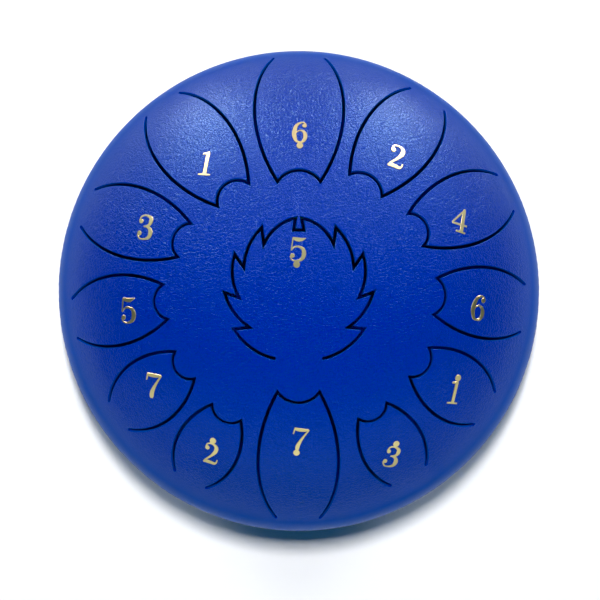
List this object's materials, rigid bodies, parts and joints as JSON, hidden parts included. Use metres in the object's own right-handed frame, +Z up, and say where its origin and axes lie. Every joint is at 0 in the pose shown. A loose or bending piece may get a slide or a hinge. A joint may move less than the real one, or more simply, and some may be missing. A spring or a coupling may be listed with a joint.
{
  "type": "steel tongue drum",
  "caption": "Round blue steel tongue drum: two welded dished shells, slotted sprung tongues marked with gold number stickers, a sound hole underneath and rubber feet.",
  "frame": {"origin": "middle of the circle that the three feet stand on, at floor level, under the middle of the drum", "axes": "+Z up through the middle of the crown, +Y towards the longest ring tongue (the low 6), so the numbers read upright from -Y"},
  "size_m": [0.3048, 0.3048, 0.1645],
  "materials": {
    "blue_paint": "glossy leather-grain powder coat on pressed steel",
    "gold_foil": "polished gold metal foil sticker with a raised edge",
    "foot_rubber": "matt moulded rubber",
    "zinc_steel": "zinc plated steel"
  },
  "bodies": {
    "drum_body": {"upper_shell": "blue_paint", "lower_shell": "blue_paint", "rim_weld": "blue_paint", "foot_1": "foot_rubber", "foot_screw_1": "zinc_steel", "foot_cup_washer_1": "zinc_steel", "foot_inner_washer_1": "zinc_steel", "foot_nut_1": "zinc_steel", "foot_2": "foot_rubber", "foot_screw_2": "zinc_steel", "foot_cup_washer_2": "zinc_steel", "foot_inner_washer_2": "zinc_steel", "foot_nut_2": "zinc_steel", "foot_3": "foot_rubber", "foot_screw_3": "zinc_steel", "foot_cup_washer_3": "zinc_steel", "foot_inner_washer_3": "zinc_steel", "foot_nut_3": "zinc_steel"},
    "note_low5": {"tongue_low5": "blue_paint", "number_low5": "gold_foil"},
    "note_low6": {"tongue_low6": "blue_paint", "number_low6": "gold_foil"},
    "note_low7": {"tongue_low7": "blue_paint", "number_low7": "gold_foil"},
    "note_1": {"tongue_1": "blue_paint", "number_1": "gold_foil"},
    "note_2": {"tongue_2": "blue_paint", "number_2": "gold_foil"},
    "note_3": {"tongue_3": "blue_paint", "number_3": "gold_foil"},
    "note_4": {"tongue_4": "blue_paint", "number_4": "gold_foil"},
    "note_5": {"tongue_5": "blue_paint", "number_5": "gold_foil"},
    "note_6": {"tongue_6": "blue_paint", "number_6": "gold_foil"},
    "note_7": {"tongue_7": "blue_paint", "number_7": "gold_foil"},
    "note_high1": {"tongue_high1": "blue_paint", "number_high1": "gold_foil"},
    "note_high2": {"tongue_high2": "blue_paint", "number_high2": "gold_foil"},
    "note_high3": {"tongue_high3": "blue_paint", "number_high3": "gold_foil"}
  },
  "joints": [
    {"name": "note_low5_flex", "type": "hinge", "parent": "drum_body", "child": "note_low5", "pos_m": [0, -0.04572, 0.1592], "axis": [-1, 0, 0], "range_deg": [-1, 1], "stiffness_Nm_per_rad": 207},
    {"name": "note_low6_flex", "type": "hinge", "parent": "drum_body", "child": "note_low6", "pos_m": [0.0005, 0.14359, 0.10583], "axis": [1, -0.0035, 0], "range_deg": [-1, 1], "stiffness_Nm_per_rad": 311},
    {"name": "note_low7_flex", "type": "hinge", "parent": "drum_body", "child": "note_low7", "pos_m": [-0.00075, -0.14255, 0.10751], "axis": [-1, 0.0052, 0], "range_deg": [-1, 1], "stiffness_Nm_per_rad": 288},
    {"name": "note_1_flex", "type": "hinge", "parent": "drum_body", "child": "note_1", "pos_m": [-0.08467, 0.11401, 0.10834], "axis": [0.8028, 0.5962, 0], "range_deg": [-1, 1], "stiffness_Nm_per_rad": 298},
    {"name": "note_2_flex", "type": "hinge", "parent": "drum_body", "child": "note_2", "pos_m": [0.08044, 0.11704, 0.10834], "axis": [0.8241, -0.5664, 0], "range_deg": [-1, 1], "stiffness_Nm_per_rad": 301},
    {"name": "note_3_flex", "type": "hinge", "parent": "drum_body", "child": "note_3", "pos_m": [-0.1308, 0.04917, 0.11157], "axis": [0.3518, 0.9361, 0], "range_deg": [-1, 1], "stiffness_Nm_per_rad": 277},
    {"name": "note_4_flex", "type": "hinge", "parent": "drum_body", "child": "note_4", "pos_m": [0.12857, 0.05832, 0.10956], "axis": [0.4131, -0.9107, 0], "range_deg": [-1, 1], "stiffness_Nm_per_rad": 292},
    {"name": "note_5_flex", "type": "hinge", "parent": "drum_body", "child": "note_5", "pos_m": [-0.1387, -0.01925, 0.11117], "axis": [-0.1374, 0.9905, 0], "range_deg": [-1, 1], "stiffness_Nm_per_rad": 279},
    {"name": "note_6_flex", "type": "hinge", "parent": "drum_body", "child": "note_6", "pos_m": [0.13848, -0.01358, 0.11235], "axis": [-0.0976, -0.9952, 0], "range_deg": [-1, 1], "stiffness_Nm_per_rad": 316},
    {"name": "note_7_flex", "type": "hinge", "parent": "drum_body", "child": "note_7", "pos_m": [-0.11084, -0.07936, 0.11579], "axis": [-0.5821, 0.8131, 0], "range_deg": [-1, 1], "stiffness_Nm_per_rad": 275},
    {"name": "note_high1_flex", "type": "hinge", "parent": "drum_body", "child": "note_high1", "pos_m": [0.11408, -0.07522, 0.11542], "axis": [-0.5505, -0.8348, 0], "range_deg": [-1, 1], "stiffness_Nm_per_rad": 283},
    {"name": "note_high2_flex", "type": "hinge", "parent": "drum_body", "child": "note_high2", "pos_m": [-0.06676, -0.11848, 0.11616], "axis": [-0.8712, 0.4909, 0], "range_deg": [-1, 1], "stiffness_Nm_per_rad": 280},
    {"name": "note_high3_flex", "type": "hinge", "parent": "drum_body", "child": "note_high3", "pos_m": [0.06696, -0.11646, 0.11799], "axis": [-0.8669, -0.4985, 0], "range_deg": [-1, 1], "stiffness_Nm_per_rad": 313}
  ]
}
